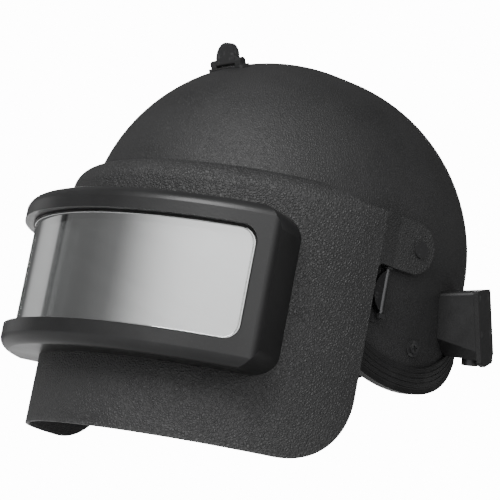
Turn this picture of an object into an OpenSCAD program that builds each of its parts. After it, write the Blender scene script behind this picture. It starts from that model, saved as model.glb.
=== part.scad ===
// Ballistic helmet with a swing-up armoured visor, in millimetres.
// Front is -Y, the wearer's left is +X, up is +Z.
// The origin is on the dome's upright axis, level with the visor's bottom edge.

/* [Helmet body] */
// half width of the dome
dome_r = 124; // [100:0.5:140]
// forward shift of the dome's front quarter
dome_sf = 5.35; // [0:0.05:15]
// rearward shift of the dome's rear quarter
dome_sr = 9.15; // [0:0.05:15]
// height of the dome's widest level
dome_z = 147; // [130:0.5:160]
// thickness of the outer shell
shell_t = 4; // [2:0.5:6]
// thickness of the inner liner
liner_t = 7; // [4:0.5:12]
// height of the brow edge
brow_z = 152; // [140:1:165]
// radius of the ear flap's outline
flap_r = 97; // [85:1:110]
// fore and aft position of the ear flap's centre
flap_y = 21.5; // [10:0.5:35]
// height of the ear flap's centre
flap_z = 156; // [145:1:170]
// height of the nape edge
nape_z = 94; // [80:1:110]

/* [Edge trim] */
// thickness of the trim outside the shell
trim_t = 1.6; // [1:0.1:3]
// depth of the trim's outer leaf
trim_h = 16; // [8:0.5:20]
// number of grooves along the trim
trim_grooves = 4; // [0:1:8]

/* [Visor plate] */
// how far the plate's outer radius exceeds the dome's
plate_out = 8.35; // [7:0.05:12]
// fore and aft position of the plate's axis
plate_y = -9.6; // [-25:0.1:5]
// thickness of the plate
plate_t = 2.5; // [1.5:0.1:5]
// fore and aft position of the plate's rear edge
plate_rear_y = -19.5; // [-40:0.5:-10]
// radius of the plate's lower rear corners
plate_corner_r = 45; // [10:1:60]
// radius of the brow shoulder
brow_r = 15; // [8:0.5:20]
// height where the brow shoulder begins
brow_start_z = 158; // [150:0.5:165]
// clearance between the brow shoulder and the dome
brow_gap = 0.8; // [0.4:0.1:2]

/* [Visor pivot] */
// fore and aft position of the pivot
pivot_y = 15.5; // [5:0.5:30]
// height of the pivot
pivot_z = 148; // [140:0.5:160]
// how far the ear's outer face stands beyond the dome's half width
ear_out = 4.8; // [4.5:0.1:8]
// radius of the ear's rounded end
ear_r = 16.5; // [12:0.5:22]
// fore and aft position of the ear's rounded end
ear_y = 10.5; // [0:0.5:20]
// radius of the pivot bolt's shank
pivot_r = 3; // [2:0.1:5]

/* [Window] */
// depth of the window frame in front of the plate
frame_depth = 27.15; // [22:0.05:35]
// bottom of the window frame
frame_z0 = 45; // [35:0.5:60]
// top of the window frame
frame_z1 = 145.5; // [135:0.5:150]
// half angle of the frame at its front
frame_a_front = 55.3; // [50:0.1:60]
// half angle of the frame at the plate
frame_a_base = 62.2; // [58:0.1:68]
// radius of the frame's rounded edges
frame_edge_r = 8; // [3:0.5:12]
// radius of the frame's outer corners
frame_corner_r = 15; // [6:0.5:25]
// bottom of the window opening
win_z0 = 60.5; // [50:0.5:70]
// top of the window opening
win_z1 = 131; // [120:0.5:138]
// half angle of the window opening
win_a = 51.25; // [40:0.25:53]
// radius of the window opening's corners
win_corner_r = 11; // [4:0.5:18]
// depth of the glass below the frame's front
glass_inset = 7.5; // [4:0.5:10]
// thickness of the glass
glass_t = 18; // [8:0.5:18]

/* [Rear box] */
// turn of the box about the upright axis
box_turn = 27; // [10:1:45]
// lean of the box, lower end outward
box_lean = 8; // [0:1:15]
// roll of the box about its outward axis
box_roll = 15; // [0:1:25]
// depth of the box from the shell
box_d = 23; // [15:0.5:35]
// length of the box around the shell
box_l = 28; // [20:1:60]
// height of the box at its front
box_h = 29.5; // [20:0.5:50]

/* [Chin strap] */
// width of the webbing
strap_w = 20; // [15:1:25]
// thickness of the webbing
strap_t = 2; // [1:0.25:3]

/* [Hidden] */
$fn = 96;
fine = 480;
big = 400;
gap = 0.1;
run = 0.05;
bite = 0.06;
skirt_h = 125;
belt_h = 26;
rod_x0 = dome_r - 34;
rod_x1 = dome_r + 16;
plate_r = dome_r + plate_out;
frame_r = plate_r + frame_depth;
glass_r = frame_r - glass_inset;
liner_in = shell_t + liner_t;
pad_r = dome_r - liner_in - 0.6;
pad_t = 16;
fillet_brow = 22;
fillet_nape = 30;
arm_z0 = pivot_z - ear_r;
arm_z1 = pivot_z + ear_r;
joggle_y0 = plate_rear_y;
joggle_y1 = -5;
ear_x = dome_r + ear_out;
ear_in = ear_x - plate_t;
boss_r = 9;
boss_x = dome_r + 1.4;
bush_r = 4.5;
cap_r = 5.4;
cap_t = 1;
cap_x = ear_x + run;
pivot_nut_x = dome_r - 12;
pivot_nut_t = 4;
trim_web = 1.2;
groove_pitch = 3.2;
groove_w = 0.5;
groove_d = 0.3;
notch_r = 5;
seal_t = 1.4;
seal_show = 1.2;
gasket_t = 1.55;
glass_z0 = win_z0 - 3;
glass_z1 = win_z1 + 3;
glass_a = win_a + 1.55;
pocket_z0 = glass_z0 - 0.5;
pocket_z1 = glass_z1 + 0.5;
pocket_a = glass_a + 0.3;
glass_corner_r = 13;
pocket_r = 13.5;
pocket_r1 = glass_r + seal_t + gap;
seal_r1 = glass_r + seal_t + run;
seal_z0 = win_z0 + seal_show;
seal_z1 = win_z1 - seal_show;
gasket_r1 = plate_r + run + gasket_t;
clear_z0 = win_z0 + 2.5;
clear_z1 = win_z1 - 2;
clear_a = win_a - 1.25;
clear_r = 9;
pane_r0 = plate_r - 4.95;
pane_t = 2.35;
pane_z0 = win_z0 - 0.4;
pane_z1 = win_z1 + 0.9;
pane_a = win_a + 0.45;
bezel_r0 = plate_r - 6.35;
bezel_z0 = win_z0 - 3.5;
bezel_z1 = win_z1 + 4;
bezel_a = win_a + 2.75;
strip_z0 = brow_start_z - 8;
strip_z1 = brow_start_z - 1;
strip_r0 = plate_r - plate_t - 2.4;
screw_r = 2;
screw_head_r = 3.6;
screw_head_t = 2.1;
screw_len = 11;
screw_low = frame_z0 + 7.5;
screw_high = frame_z1 - 5.5;
screw_mid = (frame_z0 + frame_z1) / 2;
screw_rows = [[-40, screw_low], [-15, screw_low], [-40, screw_high], [-15, screw_high], [-57, screw_mid]];
latch_y = -66;
latch_z = dome_z + sqrt(pow(dome_r, 2) - pow(latch_y + dome_sf, 2));
latch_tilt = asin(-(latch_y + dome_sf) / dome_r);
latch_w = 36;
latch_base_t = 0.8;
latch_pin_r = 1.2;
latch_pin_h = 3.4;
latch_rivet_x = 13.4;
latch_rivet_r = 1.5;
latch_rivet_z = -shell_t - 0.6;
latch_rivet_l = shell_t + 2.2;
lug_w = 6;
lug_r = 2.4;
tab_w = 20;
tab_t = 4.6;
tab_up = 13.2;
tab_lean = 13;
catch_x = dome_r + 3.4;
catch_y = plate_rear_y + 12;
catch_z0 = 101.5;
catch_z1 = 129.5;
catch_pin_r = 1;
catch_reach = 9.3;
catch_rivet_r = 1.1;
catch_foot_t = 1;
catch_rivets_at = [[catch_y - 5.4, catch_z0 - 3.2], [catch_y, catch_z1 - 9.5]];
box_y = 47.2;
box_x = sqrt(pow(dome_r, 2) - pow(box_y - dome_sr, 2));
box_z = 127.2;
box_wall = 2;
cover_t = 3;
box_low = box_h + 11.5;
box_low_lean = 8;
box_front_lean = [48.7, 71.6];
socket_x = 14;
socket_y = 16;
box_bolts_y = [8, 18];
socket_bore_r = 3.8;
socket_bore_h = 3.4;
contact_r = 0.45;
contact_h = 2;
box_bolt_r = 2;
box_bolt_x = -11.3;
bolt_y = 28;
bolt_z = 87;
bolt_r = 2.5;
bolt_head_r = 3.2;
bolt_head_t = 1.7;
washer_x = dome_r - 1.3;
washer_t = 1;
bolt_head_x = washer_x + washer_t;
washer_r = 5.4;
plate_x = dome_r - 13.6;
strap_plate_r = 9.5;
strap_plate_t = 1.5;
strap_recess_r = 16;
strap_nut_x = dome_r - 19.2;
strap_nut_t = 3.4;
strap_r = plate_x - gap;
strap_cy = bolt_y;
strap_cz = bolt_z;
strap_tilt = 29.3;
strap_end_a = 6;
buckle_a0 = 36;
buckle_a1 = 46;
buckle_a2 = 53;
buckle_r0 = strap_r - strap_t - 2;
buckle_r1 = strap_r + 2;
buckle_w = strap_w + 6;
slot_r0 = strap_r - strap_t - gap;
slot_r1 = strap_r + gap;
cup_r1 = slot_r0 - 0.2;
cup_t = 4;
cup_w = 32;
cup_a = 19;
pad_corner_r = 8;

// a 2D region in the side view (Y across, Z up) run along X from -x to x
module side_prism(x) {
    rotate([90, 0, 90])
        linear_extrude(height = 2 * x, center = true)
            children();
}

// top of a quarter of a ball of radius r, above the belt and behind the upright plane,
// turned so that its poles and seam lie outside the quarter
module quarter_cap(r) {
    intersection() {
        rotate([45, 0, 0])
            rotate([0, 0, -90])
                sphere(r = r);
        translate([-big, 0, belt_h])
            cube([2 * big, big, big]);
    }
}

// section of the skirt and the belt above it, right of the axis
module belt_section(r) {
    intersection() {
        circle(r = r);
        square([big, belt_h]);
    }
    translate([0, -skirt_h])
        square([r, skirt_h]);
}

// the filled helmet body, inset by d from its outer surface
module body(d) {
    r = dome_r - d;
    for (rear = [true, false])
        translate([0, rear ? dome_sr : -dome_sf, dome_z])
            rotate([0, 0, rear ? 0 : 180]) {
                quarter_cap(r);
                rotate_extrude(angle = 180)
                    belt_section(r);
            }
    translate([0, dome_sr, dome_z])
        rotate([90, 0, 0])
            linear_extrude(height = dome_sr + dome_sf) {
                intersection() {
                    circle(r = r);
                    translate([-big, 0])
                        square([2 * big, big]);
                }
                translate([-r, -skirt_h])
                    square([2 * r, skirt_h]);
            }
}

// side view of what is cut from the helmet body, with the kept part grown by d past its edge
module opening_2d(d) {
    r = flap_r + d;
    bz = brow_z - d;
    nz = nape_z - d;
    rf = fillet_brow - d;
    rn = fillet_nape - d;
    by = flap_y - sqrt(pow(r + rf, 2) - pow(bz - rf - flap_z, 2)) + bite;
    ny = flap_y + sqrt(pow(r + rn, 2) - pow(nz - rn - flap_z, 2)) - bite;
    ba = atan2(flap_z - bz + rf, flap_y - by);
    na = atan2(flap_z - nz + rn, flap_y - ny);
    difference() {
        union() {
            translate([-big, -10])
                square([big + by, bz + 10]);
            translate([by - 5, -10])
                square([5 + rf * cos(ba) - bite, 10 + bz - rf + rf * sin(ba) - bite]);
            translate([by, bz - rf])
                circle(r = rf);
            translate([flap_y, -10])
                square([ny + rn * cos(na) - flap_y + bite, 10 + nz - rn + rn * sin(na) - bite]);
            translate([by, -10])
                square([flap_y - by + 1, 10 + flap_z - r * 0.999 + 15]);
            translate([ny + rn * cos(na), -10])
                square([-rn * cos(na) + 1, 10 + nz - rn]);
            translate([ny, nz - rn])
                circle(r = rn);
            translate([ny, -10])
                square([big, nz + 10]);
        }
        translate([flap_y, flap_z])
            circle(r = r);
    }
}

// a corner left after rounding: r is the radius, c its centre, sx and sy the outward signs
module corner_cut(c, r, sx, sy) {
    difference() {
        translate([sx > 0 ? c[0] : c[0] - r - 1, sy > 0 ? c[1] : c[1] - r - 1])
            square([r + 1, r + 1]);
        translate(c)
            circle(r = r + bite);
    }
}

// a rectangle with all four corners rounded
module round_rect(x0, y0, x1, y1, r) {
    difference() {
        translate([x0, y0])
            square([x1 - x0, y1 - y0]);
        corner_cut([x0 + r, y0 + r], r, -1, -1);
        corner_cut([x1 - r, y0 + r], r, 1, -1);
        corner_cut([x0 + r, y1 - r], r, -1, 1);
        corner_cut([x1 - r, y1 - r], r, 1, 1);
    }
}

// a cylinder along X from x0 to x1 on the axis through y and z
module x_rod(x0, x1, y, z, r) {
    translate([x0, y, z])
        rotate([0, 90, 0])
            cylinder(r = r, h = x1 - x0);
}

// children on the wearer's left and mirrored on the right
module both() {
    children();
    mirror([1, 0, 0])
        children();
}

// the frame of the rear box: X outward, Y rearward, Z up, origin at its front top edge
module at_box() {
    translate([box_x, box_y, box_z])
        rotate([0, 0, box_turn])
            rotate([0, -box_lean, 0])
                rotate([box_roll, 0, 0])
                    children();
}

module box_bolt_at(y) {
    at_box()
        translate([0, y, -14])
            rotate([0, 90, 0])
                children();
}

module outer_shell() {
    color([0.2, 0.2, 0.21]) {
        difference() {
            union() {
                difference() {
                    body(0);
                    body(shell_t);
                    side_prism(big)
                        opening_2d(0);
                }
                both()
                    x_rod(dome_r - shell_t / 2, boss_x, pivot_y, pivot_z, boss_r);
            }
            both() {
                x_rod(rod_x0, rod_x1, pivot_y, pivot_z, pivot_r + run);
                x_rod(rod_x0, rod_x1, bolt_y, bolt_z, bolt_r + gap);
                x_rod(washer_x, rod_x1, bolt_y, bolt_z, washer_r + gap);
            }
            for (y = box_bolts_y)
                box_bolt_at(y)
                    translate([0, 0, -30])
                        cylinder(r = box_bolt_r + gap, h = 40);
            at_latch()
                for (x = [-1, 1])
                    translate([x * latch_rivet_x, 0, -10])
                        cylinder(r = latch_rivet_r + run, h = 20);
            for (p = catch_rivets_at)
                x_rod(dome_r - 10, dome_r + 10, p[0], p[1], catch_rivet_r + run);
        }
    }
}

module inner_liner() {
    color([0.35, 0.33, 0.3]) {
        difference() {
            body(shell_t + gap);
            body(liner_in);
            side_prism(big)
                opening_2d(-trim_h - 1);
            both() {
                x_rod(rod_x0, rod_x1, pivot_y, pivot_z, pivot_r + gap);
                x_rod(rod_x0, pivot_nut_x + gap, pivot_y, pivot_z, 7.5);
                x_rod(rod_x0, rod_x1, bolt_y, bolt_z, bolt_r + gap);
                x_rod(rod_x0, plate_x + strap_plate_t + gap, bolt_y, bolt_z, strap_recess_r);
            }
            for (y = box_bolts_y)
                box_bolt_at(y) {
                    translate([0, 0, -30])
                        cylinder(r = box_bolt_r + gap, h = 40);
                    translate([0, 0, -40])
                        cylinder(r = 4.5, h = 40 + box_bolt_x + 2.2 + gap);
                }
        }
    }
}

// the rim band of the helmet body, from d0 inside the edge to d1 outside it
module rim_band(outer, inner, d0, d1) {
    intersection() {
        difference() {
            body(outer);
            body(inner);
            side_prism(big)
                opening_2d(d1);
        }
        side_prism(big)
            opening_2d(-d0);
    }
}

module edge_trim() {
    color([0.08, 0.08, 0.08]) {
        difference() {
            rim_band(-trim_t, shell_t + trim_t, trim_h, trim_web);
            difference() {
                body(-run);
                body(shell_t + run);
                side_prism(big)
                    opening_2d(run);
            }
            difference() {
                body(-trim_t - 1);
                body(-trim_t + groove_d);
                side_prism(big)
                    difference() {
                        square([4 * big, 4 * big], center = true);
                        for (i = [1:trim_grooves])
                            difference() {
                                opening_2d(-i * groove_pitch);
                                opening_2d(-i * groove_pitch + groove_w);
                            }
                    }
            }
        }
    }
}

// a pad cut from a ball-shaped layer just inside the liner, centred at y
module pad_layer(y) {
    intersection() {
        translate([0, y, dome_z])
            difference() {
                sphere(r = pad_r);
                sphere(r = pad_r - pad_t);
            }
        children();
    }
}

module front_pad() {
    color([0.25, 0.25, 0.27])
        pad_layer(-4)
            translate([0, -50, 0])
                rotate([90, 0, 0])
                    linear_extrude(height = 100)
                        round_rect(-46, brow_z + 22, 46, brow_z + 56, pad_corner_r);
}

module rear_pad() {
    color([0.25, 0.25, 0.27])
        intersection() {
            translate([0, dome_sr - 0.6, 0])
                difference() {
                    cylinder(r = pad_r - 0.2, h = 200);
                    cylinder(r = pad_r - pad_t, h = 200);
                }
            translate([0, 150, 0])
                rotate([90, 0, 0])
                    linear_extrude(height = 90)
                        round_rect(-46, nape_z + 20, 46, nape_z + 63, pad_corner_r);
        }
}

module side_pads() {
    color([0.25, 0.25, 0.27])
        both()
            pad_layer(2)
                translate([60, 0, 0])
                    rotate([90, 0, 90])
                        linear_extrude(height = 60)
                            round_rect(-38, pivot_z + 9, 42, pivot_z + 46, pad_corner_r);
}

module top_pad() {
    color([0.25, 0.25, 0.27])
        pad_layer(2)
            translate([0, 4, 200])
                cylinder(r = 46, h = 90);
}

// chin strap ring sector: r0 to r1, from angle a0 down to a1, w wide
module strap_arc(r0, r1, a0, a1, w) {
    translate([0, strap_cy, strap_cz])
        rotate([strap_tilt, 0, 0])
            rotate([0, 0, -a1])
                rotate_extrude(angle = a1 - a0)
                    translate([r0, -w / 2])
                        square([r1 - r0, w]);
}

module strap_left() {
    color([0.1, 0.1, 0.1]) {
        difference() {
            strap_arc(strap_r - strap_t, strap_r, -strap_end_a, buckle_a0 + 2, strap_w);
            x_rod(rod_x0, rod_x1, bolt_y, bolt_z, bolt_r + gap);
        }
    }
}

module strap_right() {
    color([0.1, 0.1, 0.1]) {
        difference() {
            strap_arc(strap_r - strap_t, strap_r, buckle_a2 - 2, 180 + strap_end_a, strap_w);
            x_rod(-rod_x1, -rod_x0, bolt_y, bolt_z, bolt_r + gap);
        }
    }
}

module buckle_socket() {
    color([0.12, 0.12, 0.12]) {
        difference() {
            strap_arc(buckle_r0, buckle_r1, buckle_a0, buckle_a1, buckle_w);
            strap_arc(slot_r0, slot_r1, buckle_a0 - 1, buckle_a0 + 2.3, strap_w + 2 * gap);
            strap_arc(slot_r0 - 0.5, slot_r1 + 0.5, buckle_a0 + 3.5, buckle_a1 + 1, strap_w + 1);
        }
    }
}

module buckle_prong() {
    color([0.12, 0.12, 0.12]) {
        difference() {
            union() {
                strap_arc(strap_r - strap_t - 0.5, strap_r + 0.5, buckle_a0 + 3.7, buckle_a1 + 0.5, strap_w);
                strap_arc(buckle_r0, buckle_r1, buckle_a1 + 0.3, buckle_a2, buckle_w);
            }
            strap_arc(slot_r0, slot_r1, buckle_a2 - 2.3, buckle_a2 + 1, strap_w + 2 * gap);
            strap_arc(buckle_r0, buckle_r1, buckle_a0 + 4.5, buckle_a1 - 1, 7);
        }
    }
}

module chin_cup() {
    color([0.15, 0.13, 0.12]) {
        strap_arc(cup_r1 - cup_t, cup_r1, 90 - cup_a, 90 + cup_a, cup_w);
    }
}

module strap_plates() {
    color([0.5, 0.5, 0.52]) {
        both()
            difference() {
                x_rod(plate_x, plate_x + strap_plate_t, bolt_y, bolt_z, strap_plate_r);
                x_rod(rod_x0, rod_x1, bolt_y, bolt_z, bolt_r + gap);
            }
    }
}

module strap_bolts() {
    color([0.5, 0.5, 0.52]) {
        both()
            difference() {
                union() {
                    x_rod(strap_nut_x - 2, washer_x + washer_t, bolt_y, bolt_z, bolt_r);
                    x_rod(bolt_head_x, bolt_head_x + bolt_head_t, bolt_y, bolt_z, bolt_head_r);
                }
                translate([bolt_head_x + bolt_head_t, bolt_y, bolt_z])
                    for (a = [20, 110])
                        rotate([a, 0, 0])
                            cube([1.8, 0.9, 3.8], center = true);
            }
    }
}

module strap_washers() {
    color([0.5, 0.5, 0.52]) {
        both()
            difference() {
                x_rod(washer_x, washer_x + washer_t, bolt_y, bolt_z, washer_r);
                x_rod(rod_x0, rod_x1, bolt_y, bolt_z, bolt_r + gap);
            }
    }
}

// a hexagonal nut along X
module x_nut(x0, x1, y, z, across, bore) {
    difference() {
        translate([x0, y, z])
            rotate([0, 90, 0])
                cylinder(r = across / sqrt(3), h = x1 - x0, $fn = 6);
        x_rod(x0 - 1, x1 + 1, y, z, bore);
    }
}

module strap_nuts() {
    color([0.5, 0.5, 0.52]) {
        both()
            x_nut(strap_nut_x, strap_nut_x + strap_nut_t, bolt_y, bolt_z, 8, bolt_r + 0.02);
    }
}

module pivot_bolts() {
    color([0.4, 0.4, 0.42])
        both() {
            x_rod(pivot_nut_x - 6, cap_x + 0.5, pivot_y, pivot_z, pivot_r);
            x_rod(cap_x, cap_x + cap_t, pivot_y, pivot_z, cap_r);
        }
}

module pivot_washers() {
    color([0.8, 0.8, 0.75]) {
        both()
            difference() {
                x_rod(boss_x + run, ear_in - run, pivot_y, pivot_z, boss_r - 0.5);
                x_rod(rod_x0, rod_x1, pivot_y, pivot_z, pivot_r + run);
            }
    }
}

module pivot_nuts() {
    color([0.5, 0.5, 0.52]) {
        both()
            x_nut(pivot_nut_x - pivot_nut_t, pivot_nut_x, pivot_y, pivot_z, 10, pivot_r + 0.02);
    }
}

module pivot_bushes() {
    color([0.35, 0.35, 0.37])
        both()
            difference() {
                x_rod(ear_in, ear_x, pivot_y, pivot_z, bush_r);
                x_rod(rod_x0, rod_x1, pivot_y, pivot_z, pivot_r + run);
            }
}

// the frame of the top latch: Z straight out from the dome, Y rearward along it
module at_latch() {
    translate([0, latch_y, latch_z])
        rotate([latch_tilt, 0, 0])
            children();
}

module latch_base() {
    color([0.25, 0.25, 0.27])
        difference() {
            at_latch()
                difference() {
                    union() {
                        translate([0, 0, -2])
                            linear_extrude(height = 2 + latch_base_t)
                                round_rect(-latch_w / 2, -4.2, latch_w / 2, 4.2, 2);
                        for (x = [-1, 1])
                            translate([x * (tab_w / 2 + 0.2 + lug_w / 2), 0, 0])
                                rotate([0, 90, 0])
                                    linear_extrude(height = lug_w, center = true)
                                        union() {
                                            translate([-latch_pin_h, 0])
                                                circle(r = lug_r);
                                            translate([-latch_pin_h, bite - lug_r])
                                                square([latch_pin_h, 2 * (lug_r - bite)]);
                                        }
                    }
                    translate([-20, 0, latch_pin_h])
                        rotate([0, 90, 0])
                            cylinder(r = latch_pin_r, h = 40);
                    for (x = [-1, 1])
                        translate([x * latch_rivet_x, 0, latch_rivet_z])
                            cylinder(r = latch_rivet_r + run, h = latch_rivet_l + gap);
                }
            at_latch()
                translate([0, 10, -dome_r])
                    rotate([90, 0, 0])
                        cylinder(r = dome_r + run, h = 20, $fn = fine);
        }
}

module latch_rivets() {
    color([0.5, 0.5, 0.52])
        at_latch()
            for (x = [-1, 1])
                translate([x * latch_rivet_x, 0, latch_rivet_z])
                    cylinder(r = latch_rivet_r, h = latch_rivet_l);
}

module latch_pin() {
    color([0.5, 0.5, 0.52]) {
        at_latch()
            translate([-(tab_w / 2 + lug_w + 0.4), 0, latch_pin_h])
                rotate([0, 90, 0])
                    cylinder(r = latch_pin_r - 0.01, h = tab_w + 2 * lug_w + 0.8);
    }
}

module latch_tab() {
    color([0.22, 0.22, 0.24]) {
        at_latch()
            translate([0, 0, latch_pin_h])
                rotate([tab_lean - latch_tilt, 0, 0])
                    difference() {
                        intersection() {
                            rotate([90, 0, 90])
                                linear_extrude(height = tab_w, center = true)
                                    union() {
                                        circle(r = tab_t / 2 + bite);
                                        translate([-tab_t / 2, 0])
                                            square([tab_t, tab_up]);
                                    }
                            rotate([90, 0, 0])
                                linear_extrude(height = 20, center = true)
                                    union() {
                                        translate([-tab_w / 2, -4])
                                            square([tab_w, tab_up + 4 - tab_w / 2 + bite]);
                                        translate([0, tab_up - tab_w / 2])
                                            circle(r = tab_w / 2);
                                    }
                        }
                        translate([-20, 0, 0])
                            rotate([0, 90, 0])
                                cylinder(r = latch_pin_r + run, h = 40);
                    }
    }
}

module catch_bracket() {
    color([0.25, 0.25, 0.27])
        difference() {
            union() {
                translate([dome_r - 7, catch_y - 8, catch_z0 - 6])
                    cube([7 + catch_foot_t, 11, 5.5]);
                translate([dome_r - 7, catch_y - 2.4, catch_z0 - 1])
                    cube([7 + catch_foot_t, 4.8, catch_z1 + 2.4 - catch_z0]);
                for (z = [catch_z0 - 3.2, catch_z1 + 0.2])
                    translate([catch_x - 4, catch_y - 2.2, z])
                        cube([6.1, 4.4, z < catch_z0 ? 3 : 1.2]);
            }
            translate([0, -dome_sf, 0])
                cylinder(r = dome_r + run, h = dome_z, $fn = fine);
            translate([catch_x, catch_y, catch_z0 - 10])
                cylinder(r = catch_pin_r, h = 50);
            for (p = catch_rivets_at)
                x_rod(dome_r - 10, dome_r + 5, p[0], p[1], catch_rivet_r + run);
        }
}

module catch_rivets() {
    color([0.5, 0.5, 0.52])
        for (p = catch_rivets_at) {
            x_rod(dome_r - shell_t - gap, dome_r + catch_foot_t, p[0], p[1], catch_rivet_r);
            if (p[0] < catch_y) {
                x_rod(dome_r + catch_foot_t - run, dome_r + catch_foot_t + run, p[0], p[1], catch_rivet_r);
                x_rod(dome_r + catch_foot_t + run, dome_r + catch_foot_t + 0.75, p[0], p[1], catch_rivet_r + 0.6);
            }
        }
}

module catch_pin() {
    color([0.5, 0.5, 0.52]) {
        translate([catch_x, catch_y, catch_z0 - 3.6])
            cylinder(r = catch_pin_r - 0.01, h = catch_z1 - catch_z0 + 5);
    }
}

module catch_blade() {
    zm = (catch_z0 + catch_z1) / 2;
    hh = (catch_z1 - catch_z0) / 2;
    dr = (hh * hh + catch_reach * catch_reach) / (2 * catch_reach);
    color([0.4, 0.4, 0.42])
        translate([catch_x, catch_y, 0])
            difference() {
                union() {
                    translate([0, 0, catch_z0])
                        cylinder(r = 2, h = 2 * hh);
                    translate([-1, 0, 0])
                        rotate([90, 0, 90])
                            linear_extrude(height = 2)
                                intersection() {
                                    translate([-catch_reach + dr, zm])
                                        circle(r = dr);
                                    translate([-catch_reach - 1, catch_z0])
                                        square([catch_reach + 1, 2 * hh]);
                                }
                    translate([-1, 0, 0])
                        rotate([90, 0, 90])
                            linear_extrude(height = 2.7)
                                intersection() {
                                    difference() {
                                        translate([-catch_reach + dr, zm])
                                            circle(r = dr);
                                        translate([-catch_reach + dr + 1, zm])
                                            circle(r = dr);
                                    }
                                    translate([-catch_reach - 1, catch_z0])
                                        square([catch_reach - 0.8, 2 * hh]);
                                }
                }
                translate([0, 0, 90])
                    cylinder(r = catch_pin_r + run, h = 60);
            }
}

// the box's outer form inset by i, open outward when i is above zero
module box_form(i) {
    difference() {
        translate([-14, 0, 0])
            rotate([90, 0, 90])
                linear_extrude(height = 14 + box_d + (i > 0 ? 1 : 0))
                    round_rect(i, -60, box_l - i, 1 - i, 3 - i);
        translate([0, 0, -box_h + 1.515 * i])
            rotate([0, box_front_lean[0], box_front_lean[1]])
                translate([-70, -70, -100])
                    cube([140, 140, 100]);
        translate([0, 0, -box_low + i])
            rotate([0, box_low_lean, 0])
                translate([-70, -70, -100])
                    cube([140, 140, 100]);
    }
}

module box_posts(r, x0, x1) {
    for (y = [4.5, box_l - 4.5], z = [-27, -4])
        translate([x0, y, z])
            rotate([0, 90, 0])
                cylinder(r = r, h = x1 - x0);
}

// the frame of the connector: its axis square to the box's underside
module at_socket() {
    at_box()
        translate([socket_x, socket_y, -box_low - socket_x * tan(box_low_lean)])
            rotate([0, box_low_lean, 0])
                children();
}

module box_housing() {
    color([0.15, 0.15, 0.16])
        difference() {
            union() {
                difference() {
                    at_box()
                        box_form(0);
                    difference() {
                        at_box()
                            box_form(box_wall);
                        body(-box_wall - trim_t);
                    }
                }
                difference() {
                    at_box()
                        box_posts(3.2, 2, box_d);
                    body(-1);
                }
                difference() {
                    for (y = box_bolts_y)
                        box_bolt_at(y)
                            cylinder(r = 4, h = 7);
                    body(-1);
                }
            }
            body(-gap);
            rim_band(-trim_t - gap, shell_t, trim_h + gap, trim_web + gap);
            at_box()
                box_posts(1.25, 12, box_d + 1);
            at_socket()
                translate([0, 0, -5])
                    cylinder(r = 4.5, h = 12);
            for (y = box_bolts_y)
                box_bolt_at(y)
                    translate([0, 0, -14])
                        cylinder(r = box_bolt_r + gap, h = 14 + 5 + gap);
        }
}

module box_cover() {
    color([0.15, 0.15, 0.16])
        at_box()
            translate([box_d + gap, 0, 0])
                difference() {
                    rotate([90, 0, 90])
                        linear_extrude(height = cover_t)
                            polygon([
                                [1.5, 1], [box_l - 1.5, 1], [box_l, -0.5], [box_l, -box_low - 0.5],
                                [box_l - 2.4, -box_low - 2], [box_l - 2.4, -box_low - 4],
                                [box_l - 4.5, -box_low - 6], [7, -box_low - 7.4], [1.5, -box_low - 5.6],
                                [0, -box_low - 4], [0, -0.5]
                            ]);
                    box_posts(1.4, -1, cover_t + 1);
                    box_posts(2.4, cover_t - 1.3, cover_t + 1);
                }
}

module box_screws() {
    color([0.3, 0.3, 0.32])
        at_box() {
            box_posts(1.2, box_d - 9, box_d + gap + cover_t - 1);
            box_posts(2.3, box_d + gap + cover_t - 1.25, box_d + gap + cover_t - 0.05);
        }
}

module box_socket() {
    color([0.3, 0.3, 0.32])
        at_socket()
            difference() {
                union() {
                    translate([0, 0, -4.6])
                        cylinder(r = 5.6, h = 4.6 - gap);
                    translate([0, 0, -1])
                        cylinder(r = 4.4, h = 5);
                }
                translate([0, 0, -5.6])
                    cylinder(r = socket_bore_r, h = 1 + socket_bore_h);
                for (a = [0:72:288])
                    rotate([0, 0, a])
                        translate([2, 0, socket_bore_h - 5.6])
                            cylinder(r = contact_r, h = 1 + contact_h);
            }
}

module box_board() {
    color([0.1, 0.3, 0.15])
        at_box()
            translate([7 + run, 8.2, -30])
                cube([1.6, box_l - 16.4, 28.9]);
}

module box_bolts() {
    color([0.5, 0.5, 0.52]) {
        for (y = box_bolts_y)
            box_bolt_at(y) {
                translate([0, 0, box_bolt_x])
                    cylinder(r = box_bolt_r, h = 5 - box_bolt_x);
                translate([0, 0, box_bolt_x])
                    cylinder(r = 3.5, h = 2.2);
            }
    }
}

// the visor plate's filled form about its own axis, inset by d
module plate_form(d) {
    translate([0, plate_y, -1])
        rotate_extrude()
            intersection() {
                square([plate_r - d, brow_start_z + 1 + brow_r]);
                union() {
                    square([plate_r, brow_start_z + 1.5]);
                    translate([plate_r - brow_r, brow_start_z + 1])
                        circle(r = brow_r - d + bite);
                    square([plate_r - brow_r, brow_start_z + 0.5 + brow_r - d]);
                }
            }
}

// side view of the visor plate in front of its rear edge
module plate_outline() {
    difference() {
        union() {
            translate([-200, 0])
                square([200 + plate_rear_y, arm_z1]);
            translate([-200, 0])
                square([138, 190]);
            polygon([[-63, 150], [-63, 174.3], [-36, arm_z1], [-36, 150]]);
        }
        corner_cut([plate_rear_y - plate_corner_r, plate_corner_r], plate_corner_r, 1, -1);
    }
}

// side view of the arm, the rounded ear and the notch below
module arm_outline() {
    translate([-40, arm_z0])
        square([40 + ear_y, 2 * ear_r]);
    translate([ear_y, pivot_z])
        circle(r = ear_r + bite);
    difference() {
        translate([plate_rear_y - 1, arm_z0 - notch_r])
            square([notch_r + 1, notch_r + 1]);
        translate([plate_rear_y + notch_r, arm_z0 - notch_r])
            circle(r = notch_r + bite);
    }
}

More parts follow.
